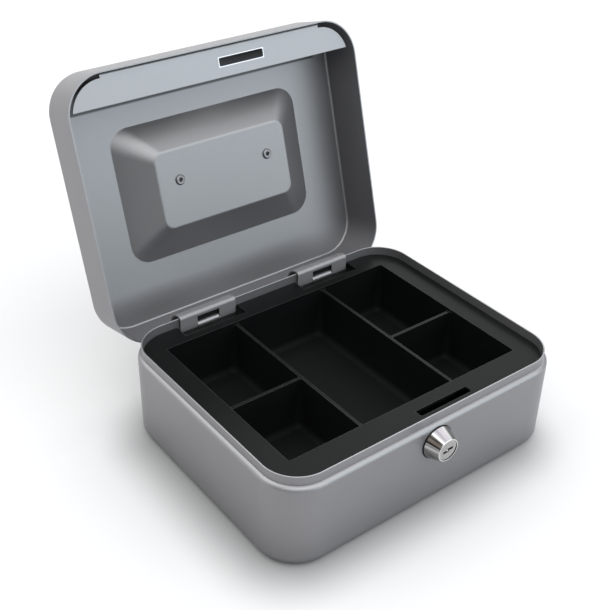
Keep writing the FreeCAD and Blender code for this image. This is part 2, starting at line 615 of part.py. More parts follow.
def lid_shell():
    """Deep-drawn lid with a sloping handle well, which stands proud inside the lid."""
    body = new_body("lid_shell")
    outline = sketch_on(body, "XY_Plane", "Rim", "Fits.rim")
    rounded_rectangle(outline, "Sizes.box_width", "Sizes.box_depth", "Sizes.corner_radius")
    top = sketch_on(body, "XY_Plane", "LidTop", "Fits.lid_top")
    rounded_rectangle(top, "Fits.lid_top_width", "Fits.lid_top_depth", "Fits.lid_top_corner")
    loft(body, "Additive", outline, top)
    hollow = sketch_on(body, "XY_Plane", "LidHollow", "Fits.rim")
    rounded_rectangle(hollow, "Fits.inner_width", "Fits.inner_depth", "Fits.inner_corner")
    ceiling = sketch_on(body, "XY_Plane", "LidCeiling", "Fits.lid_ceiling")
    rounded_rectangle(ceiling, "Fits.ceiling_width", "Fits.ceiling_depth", "Fits.ceiling_corner")
    loft(body, "Subtractive", hollow, ceiling)
    round_edges(body, "InnerTopEdge", "Fits.lid_inner_radius", level_edges(value("Fits.lid_ceiling")))
    round_edges(body, "TopEdge", "Sizes.lid_edge_radius", level_edges(value("Fits.lid_top")))
    boss = sketch_on(body, "XY_Plane", "Boss", "Fits.lid_ceiling")
    rounded_rectangle(boss, "Fits.boss_length", "Fits.boss_width", "Fits.boss_corner",
                      "0", "Sizes.well_mid")
    plateau = sketch_on(body, "XY_Plane", "Plateau", "Fits.boss_floor")
    rounded_rectangle(plateau, "Fits.boss_floor_length", "Fits.boss_floor_width",
                      "Fits.boss_floor_corner", "0", "Sizes.well_floor_mid")
    loft(body, "Additive", boss, plateau)
    inside = outside("Fits.boss_floor_length", "Fits.boss_floor_width")
    round_edges(body, "BossRoot", "Fits.boss_root_radius", level_edges(value("Fits.lid_ceiling"), inside))
    round_edges(body, "PlateauEdge", "Fits.boss_floor_radius", level_edges(value("Fits.boss_floor")))
    mouth = sketch_on(body, "XY_Plane", "Mouth", "Fits.lid_top")
    rounded_rectangle(mouth, "Sizes.well_length", "Sizes.well_width", "Sizes.well_corner",
                      "0", "Sizes.well_mid")
    floor = sketch_on(body, "XY_Plane", "WellFloor", "Fits.well_floor")
    rounded_rectangle(floor, "Sizes.well_floor_length", "Sizes.well_floor_width",
                      "Sizes.well_floor_corner", "0", "Sizes.well_floor_mid")
    loft(body, "Subtractive", mouth, floor)
    round_edges(body, "MouthEdge", "Sizes.well_edge_radius", level_edges(value("Fits.lid_top")))
    round_edges(body, "WellFloorEdge", "Sizes.well_floor_radius", level_edges(value("Fits.well_floor")))
    holes = sketch_on(body, "XY_Plane", "RivetHoles", "Fits.well_floor")
    for side, _ in SIDES:
        circle(holes, "Fits.rivet_hole", "Fits.rivet_" + side, "Sizes.rivet_mid")
    cut(body, holes, "2 * Sizes.sheet", both_ways=True)
    body.Placement = LID_OPEN
    return body


def tray_rest(name, sign):
    """Angle strip welded to a side wall; the flange of the tray lies on its shelf."""
    body = new_body("tray_rest_" + name)
    half = value("Sizes.rest_thickness") / 2
    bend = value("Sizes.rest_bend")
    foot = value("Fits.rest_top") - value("Sizes.rest_height")
    start = (sign * (value("Fits.inner_width") / 2 - half), foot)
    steps = (
        (value("Sizes.rest_height") - half - bend,),
        (bend, sign * 90),
        (value("Sizes.rest_reach") - half - bend,),
    )
    section = sketch_on(body, "XZ_Plane", "RestSection")
    bent_strip(section, start, 90, "Sizes.rest_thickness", steps)
    pad(body, section, "Sizes.rest_length", both_ways=True)
    return body


def hinge_leaf(name):
    """Leaf of the base: a weld plate on the back wall, and a tongue curled round the pin."""
    body = new_body("hinge_leaf_" + name)
    plate = sketch_on(body, "YZ_Plane", "LeafPlate", "Fits.hinge_" + name)
    rectangle(plate, "Sizes.leaf_thickness", "Sizes.leaf_height", "Fits.leaf_y", "Fits.leaf_z")
    pad(body, plate, "Sizes.arm_width", both_ways=True)
    tongue = sketch_on(body, "YZ_Plane", "LeafTongue", "Fits.hinge_" + name)
    root = value("Sizes.leaf_neck") + value("Sizes.leaf_thickness")
    ring = value("Fits.pin_seat") + value("Sizes.leaf_thickness") / 2
    steps = ((root,), (ring, value("Sizes.leaf_curl")))
    bent_strip(tongue, (value("Fits.leaf_y"), HINGE_Z - root), 90, "Sizes.leaf_thickness", steps)
    pad(body, tongue, "Fits.tongue_width", both_ways=True)
    return body


def hinge_pin(name):
    body = new_body("hinge_pin_" + name)
    section = sketch_on(body, "YZ_Plane", "PinSection", "Fits.hinge_" + name)
    circle(section, "Sizes.pin_diameter", "Fits.hinge_y", "Fits.hinge_z")
    pad(body, section, "Fits.pin_length", both_ways=True)
    return body


def hinge_arm(name):
    """Gooseneck arm: curled round the pin, up inside the lip, round over it, and down the lid wall.

    It is drawn as it stands with the lid open, about the hinge axis, round which its long bend
    runs, so that it passes over the lip without touching it all the way from shut to open.
    """
    body = new_body("hinge_arm_" + name)
    half = value("Sizes.arm_thickness") / 2
    bend = value("Sizes.arm_bend")
    ring = value("Fits.pin_seat") + half
    sweep = value("Fits.arm_sweep") - half
    curl = value("Sizes.arm_curl")
    spoke = math.sqrt((sweep - bend) ** 2 - (bend - ring) ** 2)
    leave = math.degrees(math.atan2(spoke, bend - ring))
    tilt = math.radians(value("Fits.lid_tilt"))
    foot_y = value("Fits.inner_depth") / 2 - HINGE_Y - half / math.cos(tilt)
    foot_z = value("Fits.rim") - HINGE_Z
    inward = bend - foot_y * math.cos(tilt) - foot_z * math.sin(tilt)
    upward = math.sqrt((sweep + bend) ** 2 - inward ** 2)
    arrive = math.degrees(math.atan2(upward, -inward) + tilt)
    begin = math.radians(180 + curl)
    steps = (
        (ring, -curl),
        (spoke,),
        (bend, leave - 180),
        (sweep, arrive - leave - value("Sizes.lid_open_angle")),
        (bend, 180 - arrive + math.degrees(tilt)),
        (value("Sizes.arm_foot"),),
    )
    section = sketch_on(body, "YZ_Plane", "ArmSection")
    bent_strip(section, (ring * math.cos(begin), ring * math.sin(begin)), 90 + curl,
               "Sizes.arm_thickness", steps)
    pad(body, section, "Sizes.arm_width", both_ways=True)
    window = sketch_on(body, "YZ_Plane", "ArmWindow")
    circle(window, "2 * Sizes.window_reach")
    cut(body, window, "Sizes.window_width", both_ways=True)
    body.Placement.Base = Vector(value("Fits.hinge_" + name), HINGE_Y, HINGE_Z)
    return body


def coin_tray():
    """Lift-out tray: a broad flange, a tub and five compartments between sunk dividers."""
    body = new_body("coin_tray")
    flange = sketch_on(body, "XY_Plane", "TrayFlange", "Fits.tray_top")
    rounded_rectangle(flange, "Fits.tray_width", "Fits.tray_length", "Fits.tray_corner")
    pad(body, flange, "Sizes.tray_flange", back=True)
    top = sketch_on(body, "XY_Plane", "TubTop", "Fits.tray_under")
    rounded_rectangle(top, "Fits.tub_length", "Fits.tub_width", "Fits.tub_corner", "0", "Fits.mouth_mid")
    bottom = sketch_on(body, "XY_Plane", "TubFloor", "Fits.tub_floor")
    rounded_rectangle(bottom, "Fits.tub_floor_length", "Fits.tub_floor_width", "Fits.tub_floor_corner",
                      "0", "Fits.mouth_mid")
    loft(body, "Additive", top, bottom)
    mouth = sketch_on(body, "XY_Plane", "TrayMouth", "Fits.tray_top")
    rounded_rectangle(mouth, "Fits.mouth_length", "Fits.mouth_width", "Sizes.pocket_corner",
                      "0", "Fits.mouth_mid")
    cut(body, mouth, "Sizes.divider_sink")
    compartments = [("Fits.middle_length", "Fits.middle_width", "0", "Fits.mouth_mid")]
    for side, _ in SIDES:
        for row in ("front", "back"):
            compartments.append(("Fits.side_length", f"Fits.{row}_width",
                                 f"Fits.side_{side}", f"Fits.{row}_mid"))
    for length, width, mid_x, mid_y in compartments:
        upper = sketch_on(body, "XY_Plane", "PocketTop", "Fits.divider_top")
        rounded_rectangle(upper, length, width, "Sizes.pocket_corner", mid_x, mid_y)
        lower = sketch_on(body, "XY_Plane", "PocketFloor", "Fits.tray_floor")
        rounded_rectangle(lower, length + "_low", width + "_low", "Sizes.pocket_floor_corner", mid_x, mid_y)
        loft(body, "Subtractive", upper, lower)
    round_edges(body, "PocketFloors", "Sizes.pocket_floor_radius", level_edges(value("Fits.tray_floor")))
    round_edges(body, "TubFloorEdge", "Fits.tub_floor_radius", level_edges(value("Fits.tub_floor")))
    notches = sketch_on(body, "XY_Plane", "HingeNotches", "Fits.tray_top")
    for side, _ in SIDES:
        rectangle(notches, "Fits.notch_width", "Fits.notch_depth", "Fits.hinge_" + side, "Fits.notch_mid")
    cut(body, notches, "Sizes.tray_flange")
    slot = sketch_on(body, "XY_Plane", "TrayCamSlot", "Fits.tray_top")
    rounded_rectangle(slot, "Sizes.tray_slot_length", "Sizes.slot_width", "Sizes.slot_corner",
                      "Sizes.tray_slot_mid", "Fits.tray_slot_y")
    cut(body, slot, "Sizes.tray_flange")
    return body


def lock_plate():
    """Strike plate across the front of the lid, welded to its wall; shut, it lies over the lip."""
    body = new_body("lock_plate")
    outline = sketch_on(body, "XY_Plane", "PlateOutline", "Fits.plate_under")
    rounded_rectangle(outline, "Fits.plate_width", "Fits.plate_length", "Fits.plate_corner")
    pad(body, outline, "Sizes.sheet")
    waste = sketch_on(body, "XY_Plane", "PlateWaste", "Fits.plate_under")
    rectangle(waste, "Sizes.box_width", "Fits.plate_length", "0", "Fits.plate_waste_mid")
    cut(body, waste, "Sizes.sheet", ahead=True)
    slot = sketch_on(body, "XY_Plane", "PlateCamSlot", "Fits.plate_under")
    rounded_rectangle(slot, "Sizes.plate_slot_length", "Sizes.slot_width", "Sizes.slot_corner",
                      "Sizes.plate_slot_mid", "Fits.plate_slot_y")
    cut(body, slot, "Sizes.sheet", ahead=True)
    half = value("Sizes.sheet") / 2
    bend = value("Sizes.plate_bend")
    overlap = value("Sizes.plate_inset")
    tilt = math.radians(value("Fits.lid_tilt"))
    wall_y = half / math.cos(tilt) - value("Fits.inner_depth") / 2
    bend_z = value("Sizes.plate_rise") + half + bend
    bend_y = wall_y + (bend + bend_z * math.sin(tilt)) / math.cos(tilt)
    steps = ((overlap,), (bend, -90 - math.degrees(tilt)), (value("Sizes.plate_foot"),))
    flange = sketch_on(body, "YZ_Plane", "PlateFlange")
    bent_strip(flange, (bend_y + overlap, value("Fits.plate_under") + half), 180, "Sizes.sheet", steps)
    pad(body, flange, "Sizes.plate_flange_length", both_ways=True)
    rear = value("Fits.plate_waste_mid") - value("Fits.plate_length") / 2
    round_edges(body, "PlateRearEdges", "Sizes.edge_round", across(rear))
    body.Placement = LID_OPEN
    return body


def handle_bracket(name):
    """Strip curled round the handle wire, with a riveted foot on the floor of the well."""
    body = new_body("handle_bracket_" + name)
    ring = value("Fits.bracket_seat") + value("Sizes.bracket_thickness") / 2
    curl = value("Sizes.bracket_curl")
    begin = math.radians(270 - curl)
    start = (value("Fits.handle_y") + ring * math.cos(begin),
             value("Fits.handle_z") + ring * math.sin(begin))
    section = sketch_on(body, "YZ_Plane", "BracketSection", "Fits.rivet_" + name)
    bent_strip(section, start, 360 - curl, "Sizes.bracket_thickness",
               ((ring, curl), (value("Sizes.bracket_foot"),)))
    pad(body, section, "Sizes.bracket_width", both_ways=True)
    hole = sketch_on(body, "XY_Plane", "BracketHole", "Fits.well_floor")
    circle(hole, "Fits.rivet_hole", "Fits.rivet_" + name, "Sizes.rivet_mid")
    cut(body, hole, "Sizes.bracket_thickness", ahead=True)
    body.Placement = LID_OPEN
    return body


def handle_rivet(name):
    """Hollow rivet through the floor of the well: head inside the lid, formed tail on the bracket."""
    body = new_body("handle_rivet_" + name)
    bore = value("Sizes.rivet_bore") / 2
    shank = value("Sizes.rivet") / 2
    head = value("Sizes.rivet_head") / 2
    head_height = value("Sizes.rivet_head_height")
    tail = value("Sizes.rivet_tail") / 2
    tail_height = value("Sizes.rivet_tail_height")
    seat = value("Fits.boss_floor")
    tail_seat = value("Fits.bracket_top")
    section = sketch_on(body, "XZ_Plane", "RivetSection")
    polygon(section, (
        (bore, seat - 0.6 * head_height),
        (bore + 0.3 * head_height, seat - head_height),
        (head - 0.7 * head_height, seat - head_height),
        (head, seat - 0.3 * head_height),
        (head, seat),
        (shank, seat),
        (shank, tail_seat),
        (tail, tail_seat),
        (tail, tail_seat + 0.4 * tail_height),
        (tail - 0.6 * tail_height, tail_seat + tail_height),
        (bore, tail_seat + tail_height),
    ))
    revolve(body, section)
    place = Placement(Vector(value("Fits.rivet_" + name), value("Sizes.rivet_mid"), 0), Rotation())
    body.Placement = LID_OPEN.multiply(place)
    return body


def quarter_arc(x, y, radius, first):
    """Quarter of a circle in a sketch, from a whole number of quarter turns on."""
    ring = Part.Circle(Vector(x, y), Vector(0, 0, 1), radius)
    return Part.ArcOfCircle(ring, first * math.pi / 2, (first + 1) * math.pi / 2)


def carry_handle():
    """Wire bail, drawn hanging from its pivot as it does with the lid open."""
    body = new_body("carry_handle")
    leg_x = value("Sizes.handle_span") / 2
    end_x = value("Sizes.handle_pivot_end")
    drop = -value("Sizes.handle_leg")
    pivot_bend = value("Sizes.handle_pivot_bend")
    corner = value("Sizes.handle_corner")
    pivot_centre = leg_x - pivot_bend
    corner_centre = leg_x - corner
    spine = sketch_on(body, "XZ_Plane", "HandleSpine")
    spine.addGeometry([
        Part.LineSegment(Vector(-end_x, 0), Vector(-pivot_centre, 0)),
        quarter_arc(-pivot_centre, -pivot_bend, pivot_bend, 1),
        Part.LineSegment(Vector(-leg_x, -pivot_bend), Vector(-leg_x, drop + corner)),
        quarter_arc(-corner_centre, drop + corner, corner, 2),
        Part.LineSegment(Vector(-corner_centre, drop), Vector(corner_centre, drop)),
        quarter_arc(corner_centre, drop + corner, corner, 3),
        Part.LineSegment(Vector(leg_x, drop + corner), Vector(leg_x, -pivot_bend)),
        quarter_arc(pivot_centre, -pivot_bend, pivot_bend, 0),
        Part.LineSegment(Vector(pivot_centre, 0), Vector(end_x, 0)),
    ])
    section = sketch_on(body, "YZ_Plane", "HandleSection", "-Sizes.handle_pivot_end")
    circle(section, "Sizes.wire")
    sweep = body.newObject("PartDesign::AdditivePipe", "HandleSweep")
    sweep.Profile = section
    sweep.Spine = (spine, [])
    doc.recompute()
    body.Placement.Base = LID_OPEN.multVec(Vector(0, value("Fits.handle_y"), value("Fits.handle_z")))
    return body


def lock_housing():
    """Lock body: a conical bezel in front of the wall, and a barrel with two flats behind it."""
    body = new_body("lock_housing")
    bore = value("Sizes.plug") / 2
    seat = value("Sizes.plug_head") / 2
    step = value("Fits.plug_step")
    face = -value("Sizes.bezel_height")
    rim = -value("Sizes.bezel_rim")
    base = value("Sizes.bezel_base") / 2
    section = sketch_on(body, "XZ_Plane", "BezelSection")
    polygon(section, (
        (bore, 0), (bore, step), (seat, step), (seat, face),
        (value("Sizes.bezel_face") / 2, face), (base, rim), (base, 0),
    ))
    revolve(body, section)
    outer = outside("Sizes.bezel_face", "Sizes.bezel_face")
    round_edges(body, "BezelEdge", "Sizes.bezel_round", level_edges(face, outer))
    barrel = sketch_on(body, "XY_Plane", "Barrel")
    double_d(barrel, "Sizes.barrel", "Sizes.barrel_flat")
    circle(barrel, "Sizes.plug")
    pad(body, barrel, "Sizes.barrel_length")
    across = sketch_on(body, "XY_Plane", "GroovesAcross", "Sizes.barrel_length")
    rectangle(across, "Fits.groove_length", "Fits.groove_width")
    cut(body, across, "Fits.groove_reach")
    upright = sketch_on(body, "XY_Plane", "GroovesUpright", "Sizes.barrel_length")
    rectangle(upright, "Fits.groove_width", "Fits.groove_length")
    cut(body, upright, "Fits.groove_reach")
    body.Placement = LOCK_PLACE
    return body


def lock_washer():
    body = new_body("lock_washer")
    ring = sketch_on(body, "XY_Plane", "WasherRing", "Sizes.sheet")
    double_d(ring, "Fits.barrel_hole", "Fits.flat_hole")
    circle(ring, "Sizes.washer_diameter")
    pad(body, ring, "Sizes.washer")
    body.Placement = LOCK_PLACE
    return body


def lock_nut():
    body = new_body("lock_nut")
    hexagon = sketch_on(body, "XY_Plane", "NutHexagon", "Fits.nut_seat")
    radius = value("Sizes.nut_flats") / 2 / math.cos(math.pi / 6)
    turns = [math.radians(60 * index) for index in range(6)]
    polygon(hexagon, [(radius * math.cos(turn), radius * math.sin(turn)) for turn in turns])
    circle(hexagon, "Fits.barrel_hole")
    pad(body, hexagon, "Sizes.nut")
    body.Placement = LOCK_PLACE
    return body


def lock_plug():
    """Turning plug: head in the bezel, slots for the wafers, keyway, and a square stem for the cam."""
    body = new_body("lock_plug")
    cap = value("Fits.plug_cap") / 2
    front = value("Fits.plug_front")
    step = value("Fits.plug_step") - value("Sizes.plug_fit")
    radius = value("Fits.plug_body") / 2
    shoulder = value("Fits.plug_shoulder")
    section = sketch_on(body, "XZ_Plane", "PlugSection")
    polygon(section, ((0, front), (cap, front), (cap, step),
                      (radius, step), (radius, shoulder), (0, shoulder)))
    revolve(body, section)
    stem = sketch_on(body, "XY_Plane", "Stem", "Fits.stem_end")
    rectangle(stem, "Sizes.stem", "Sizes.stem")
    pad(body, stem, "Sizes.cam", back=True)
    hole = sketch_on(body, "XY_Plane", "ScrewHole", "Fits.stem_end")
    circle(hole, "Fits.screw_hole")
    cut(body, hole, "Fits.screw_hole_depth")
    for side, level in (("left", "low"), ("right", "high")):
        keyway = sketch_on(body, "XY_Plane", "KeywayHalf", "Fits.plug_front")
        rectangle(keyway, "Fits.keyway_half", "Sizes.keyway_width",
                  "Fits.keyway_" + side, "Fits.keyway_" + level)
        cut(body, keyway, "Sizes.keyway_depth", ahead=True)
    for place in WAFERS:
        slot = sketch_on(body, "XY_Plane", "WaferSlot", f"Fits.wafer_start + {place} * Sizes.wafer_pitch")
        rectangle(slot, "Sizes.plug_head", "Fits.wafer_slot_width")
        cut(body, slot, "Fits.wafer_slot", ahead=True)
    body.Placement = LOCK_PLACE
    return body


def lock_wafer(place):
    """Flat wafer, flush with the plug as a key holds it, with a window for the key."""
    body = new_body(f"lock_wafer_{place + 1}")
    depth = f"Fits.wafer_start + {place} * Sizes.wafer_pitch + Sizes.wafer_fit"
    blank = sketch_on(body, "XY_Plane", "WaferBlank", depth)
    double_d(blank, "Fits.wafer_round", "Sizes.wafer_width")
    rectangle(blank, "Fits.wafer_window_length", "Fits.wafer_window_width")
    pad(body, blank, "Sizes.wafer")
    body.Placement = LOCK_PLACE
    return body


def lock_cam():
    """Hooked cam, drawn unlocked, when it lies level below the flange of the tray.

    Locked, it stands upright, its neck in the slot of the lock plate and its beak over the plate.
    """
    body = new_body("lock_cam")
    back = value("Sizes.cam_back")
    neck = -value("Sizes.cam_neck")
    beak = -value("Sizes.cam_beak")
    end = value("Fits.hook_end")
    low = value("Fits.hook_low")
    high = value("Fits.hook_high")
    reach = value("Sizes.cam_reach")

    def on_circle(radius, y):
        return Vector(math.sqrt(radius ** 2 - y ** 2), y)

    def arc(radius, first, last):
        rim = Part.Circle(Vector(0, 0), Vector(0, 0, 1), radius)
        return Part.ArcOfCircle(rim, math.asin(first / radius), math.asin(last / radius))

    outline = sketch_on(body, "XY_Plane", "CamOutline", "Fits.plug_shoulder")
    outline.addGeometry([
        Part.LineSegment(Vector(0, neck), on_circle(low, neck)),
        arc(low, neck, end),
        Part.LineSegment(on_circle(low, end), on_circle(high, end)),
        arc(high, beak, end),
        Part.LineSegment(on_circle(high, beak), on_circle(reach, beak)),
        arc(reach, beak, back),
        Part.LineSegment(on_circle(reach, back), Vector(0, back)),
        Part.LineSegment(Vector(0, back), Vector(0, neck)),
    ])
    pad(body, outline, "Sizes.cam")
    hub = sketch_on(body, "XY_Plane", "CamHub", "Fits.plug_shoulder")
    circle(hub, "2 * Sizes.cam_hub")
    pad(body, hub, "Sizes.cam")
    hole = sketch_on(body, "XY_Plane", "CamHole", "Fits.plug_shoulder")
    rectangle(hole, "Fits.cam_hole", "Fits.cam_hole")
    cut(body, hole, "Sizes.cam", ahead=True)
    body.Placement = LOCK_PLACE
    return body


def cam_washer():
    body = new_body("cam_washer")
    ring = sketch_on(body, "XY_Plane", "CamWasherRing", "Fits.cam_back_face")
    circle(ring, "Sizes.cam_washer_diameter")
    circle(ring, "Fits.screw_hole")
    pad(body, ring, "Sizes.cam_washer")
    body.Placement = LOCK_PLACE
    return body


def cam_screw():
    body = new_body("cam_screw")
    head = sketch_on(body, "XY_Plane", "ScrewHead", "Fits.screw_seat")
    circle(head, "Sizes.screw_head")
    pad(body, head, "Sizes.screw_head_height")
    shank = sketch_on(body, "XY_Plane", "ScrewShank", "Fits.screw_seat")
    circle(shank, "Sizes.screw")
    pad(body, shank, "Sizes.screw_length", back=True)
    slot = sketch_on(body, "XY_Plane", "ScrewSlot", "Fits.screw_seat + Sizes.screw_head_height")
    rectangle(slot, "2 * Sizes.screw_head", "Sizes.screw_slot")
    cut(body, slot, "Sizes.screw_head_height / 2")
    body.Placement = LOCK_PLACE
    return body


def main():
    pieces = [base_shell(), lid_shell(), lock_plate(), coin_tray(), carry_handle()]
    for name, sign in SIDES:
        pieces.append(tray_rest(name, sign))
        pieces.append(hinge_leaf(name))
        pieces.append(hinge_pin(name))
        pieces.append(hinge_arm(name))
        pieces.append(handle_bracket(name))
        pieces.append(handle_rivet(name))
    pieces += [lock_housing(), lock_washer(), lock_nut()]
    pieces += [lock_plug(), lock_cam(), cam_washer(), cam_screw()]
    pieces += [lock_wafer(place) for place in WAFERS]
    doc.recompute()
    for item in doc.Objects:
        if "Invalid" in item.State or "Error" in item.State:
            raise RuntimeError(f"{item.Label} failed: {item.State}")
    os.makedirs("parts", exist_ok=True)
    for piece in pieces:
        shape = piece.Shape
        if shape.isNull() or not shape.isValid() or len(shape.Solids) != 1:
            raise RuntimeError(f"{piece.Label} is not one valid solid")
        shape.exportStep(f"parts/{piece.Label}.step")


main()
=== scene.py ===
import json
import math

import bpy
from mathutils import Matrix, Vector


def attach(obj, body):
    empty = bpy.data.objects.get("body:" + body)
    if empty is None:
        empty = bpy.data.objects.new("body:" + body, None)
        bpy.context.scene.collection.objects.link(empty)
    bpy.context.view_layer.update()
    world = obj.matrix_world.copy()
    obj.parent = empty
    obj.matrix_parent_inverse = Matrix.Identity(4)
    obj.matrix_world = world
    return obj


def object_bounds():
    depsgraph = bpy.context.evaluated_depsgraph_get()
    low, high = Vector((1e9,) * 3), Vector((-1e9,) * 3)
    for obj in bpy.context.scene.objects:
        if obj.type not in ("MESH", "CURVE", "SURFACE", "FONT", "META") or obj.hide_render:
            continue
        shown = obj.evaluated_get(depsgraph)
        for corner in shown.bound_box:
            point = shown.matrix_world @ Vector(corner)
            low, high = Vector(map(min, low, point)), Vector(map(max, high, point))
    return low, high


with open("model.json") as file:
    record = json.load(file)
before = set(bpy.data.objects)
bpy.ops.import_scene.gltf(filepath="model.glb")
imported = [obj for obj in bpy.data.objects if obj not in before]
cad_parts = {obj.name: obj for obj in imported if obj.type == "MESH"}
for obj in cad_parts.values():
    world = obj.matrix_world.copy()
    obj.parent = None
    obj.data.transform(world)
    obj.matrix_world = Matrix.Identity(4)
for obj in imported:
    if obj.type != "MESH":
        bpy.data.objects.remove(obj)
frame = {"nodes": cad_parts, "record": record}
cad_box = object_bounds()
NODES = frame["nodes"]
JOINTS = {joint["name"]: joint for joint in frame["record"]["behaviour"]["joints"]}
MM = 0.001
RIGHT = Vector((1, 0, 0))
BACK = Vector((0, 1, 0))
UP = Vector((0, 0, 1))

# The open lid: a point on its hinge line, the ways to its front and out of its top, and its right rivet.
LID_HINGE = Vector(JOINTS["lid_hinge"]["pos_m"])
LID_OPENING = math.radians(-JOINTS["lid_hinge"]["range_deg"][0])
LID_FRONT = Vector((0, -math.cos(LID_OPENING), math.sin(LID_OPENING)))
LID_TOP = Vector((0, math.sin(LID_OPENING), math.cos(LID_OPENING)))
RIVET_HEAD = Vector((0.0320, 0.1215, 0.1247))

# The lock: the foot of its bezel on the front wall, the middle of its face, and the low half of its keyway.
BEZEL_FOOT = Vector(JOINTS["lock_turn"]["pos_m"])
LOCK_FACE = BEZEL_FOOT - 8.7 * MM * BACK
KEYWAY_LOW = BEZEL_FOOT + MM * Vector((-0.1, -8.65, -0.5))
FACING_FRONT = (math.radians(90), 0, 0)

# The picture's camera, in metres, found by fitting the box to the photograph.
CAMERA_PLACE = Vector((-0.31849, -0.36887, 0.40635))
CAMERA_AZIMUTH = math.radians(-38.13)
CAMERA_ELEVATION = math.radians(33.34)
CAMERA_ROLL = math.radians(1.40)
CAMERA_LENS = 61.22
CAMERA_SENSOR = 36.0
CAMERA_CLIP = (0.01, 50)

# Light from the surroundings: a dim tone, and bright sides.
# Each side has its way, how far along it the side starts and is full, and its tone.
DIM = (0.25, 0.26, 0.27, 1)
BACKDROP = (Vector((-0.35, 0.94, 0.0)).normalized(), 0.0, 0.5, (1.05, 1.05, 1.05, 1))
OVERHEAD = (UP, 0.15, 0.80, (3.02, 3.12, 3.06, 1))
KEY = (Vector((0.52, -0.85, -0.05)).normalized(), 0.70, 0.97, (2.55, 2.90, 3.05, 1))

# A narrow row of cards that arches over the box, from the left at 0 degrees to the right at 180.
CARD_ROW = (-0.22, 0.05)
CARD_SOFT = 0.02
CARDS = (
    (7.5, 62, (0.36, 0.31, 0.27, 1)),
    (7.5, 20, (0.02, 0.02, 0.02, 1)),
    (43, 51, (0.03, 0.03, 0.03, 1)),
    (77, 150, (1.75, 1.70, 1.84, 1)),
    (88, 106, (1.30, 1.27, 1.38, 1)),
)

# The floor, in metres: where it goes dim towards the camera, and the painted shadow round the foot of the
# box.
# The foot is a rectangle with round corners: the box gives its width, and the front wall gives its depth.
FLOOR_SIZE = 12
FLOOR_TONES = ((0.465, 0.455, 0.465, 1), (0.485, 0.475, 0.485, 1))
CAMERA_SIDE = Vector((-0.61, -0.79, 0.0)).normalized()
DIM_REACH = (0.16, 0.40)
DIM_FLOOR = (0.15, 0.15, 0.15, 1)
SHADOW_SHIFT = (0.010, 0.006, 0)
FOOT_CORNER = 0.028
FOOT_HALF = (cad_box[1][0] - FOOT_CORNER, -BEZEL_FOOT.y - FOOT_CORNER, 0)
SHADOW_REACH = (-0.022, 0.026)
SHADOW_FLOOR = (0.17, 0.168, 0.17, 1)

# The two small pieces that are modelled here.
SEAL_RADIUS = 10.02 * MM
SEAL_SWELL = 1.035
SEAL_DEPTH = 0.6 * MM
SEAL_ROUNDING = 0.15 * MM
PIN_RADIUS = 0.75 * MM
PIN_LENGTH = 2 * MM
PIN_ROUNDING = 0.7 * MM
SMOOTH_ANGLE = math.radians(35)
SHARP_ANGLE = math.radians(40)


class Socket:
    """Output of a shader node that can be reckoned with; each operation adds a Math node."""

    def __init__(self, graph, socket):
        self.graph = graph
        self.socket = socket

    def _math(self, operation, first, second=0.0):
        return self.graph.node("ShaderNodeMath", {"operation": operation}, {0: first, 1: second})

    def __add__(self, other):
        return self._math("ADD", self, other)

    def __radd__(self, other):
        return self._math("ADD", other, self)

    def __sub__(self, other):
        return self._math("SUBTRACT", self, other)

    def __rsub__(self, other):
        return self._math("SUBTRACT", other, self)

    def __mul__(self, other):
        return self._math("MULTIPLY", self, other)

    def __rmul__(self, other):
        return self._math("MULTIPLY", other, self)

    def __abs__(self):
        return self._math("ABSOLUTE", self)


class Graph:
    """A tree of shader nodes, built socket by socket."""

    def __init__(self, tree):
        self.tree = tree

    def node(self, kind, settings=None, inputs=None, output=0):
        """Adds a node with its settings and with values or links on its sockets."""
        item = self.tree.nodes.new(kind)
        for name, value in (settings or {}).items():
            setattr(item, name, value)
        for key, value in (inputs or {}).items():
            self.feed(item.inputs[key], value)
        return Socket(self, item.outputs[output])

    def feed(self, socket, value):
        """Links a socket to another node's output, or sets its value."""
        if isinstance(value, Socket):
            self.tree.links.new(value.socket, socket)
        else:
            socket.default_value = value

    def place(self):
        """Place on the surface, in the part's own frame."""
        return self.node("ShaderNodeTexCoord", output="Object")

    def vector(self, operation, first, second=(0, 0, 0)):
        return self.node("ShaderNodeVectorMath", {"operation": operation}, {0: first, 1: second})

    def length(self, vector):
        return self.node("ShaderNodeVectorMath", {"operation": "LENGTH"}, {0: vector}, "Value")

    def along(self, vector, way):
        """Share of a vector that points one way."""
        return self.node("ShaderNodeVectorMath", {"operation": "DOT_PRODUCT"}, {0: vector, 1: way}, "Value")

    def ramp(self, value, low, high):
        """0 below low, 1 above high, smooth between."""
        return self.node("ShaderNodeMapRange", {"interpolation_type": "SMOOTHSTEP"},
                         {"Value": value, "From Min": low, "From Max": high})

    def band(self, value, low, high, soft):
        """1 from low to high, 0 outside, with soft ends."""
        rise = self.ramp(value, low - soft, low + soft)
        return rise * (1 - self.ramp(value, high - soft, high + soft))

    def mix(self, factor, first, second):
        """Colour that goes from the first to the second as the factor goes from 0 to 1."""
        return self.node("ShaderNodeMix", {"data_type": "RGBA"}, {0: factor, 6: first, 7: second}, 2)

    def noise(self, scale, detail=2.0, stretch=(1, 1, 1)):
        """Cloudy values from 0 to 1; scale counts lumps per metre."""
        place = self.node("ShaderNodeMapping", None, {"Vector": self.place(), "Scale": stretch})
        return self.node("ShaderNodeTexNoise", None, {"Vector": place, "Scale": scale, "Detail": detail})


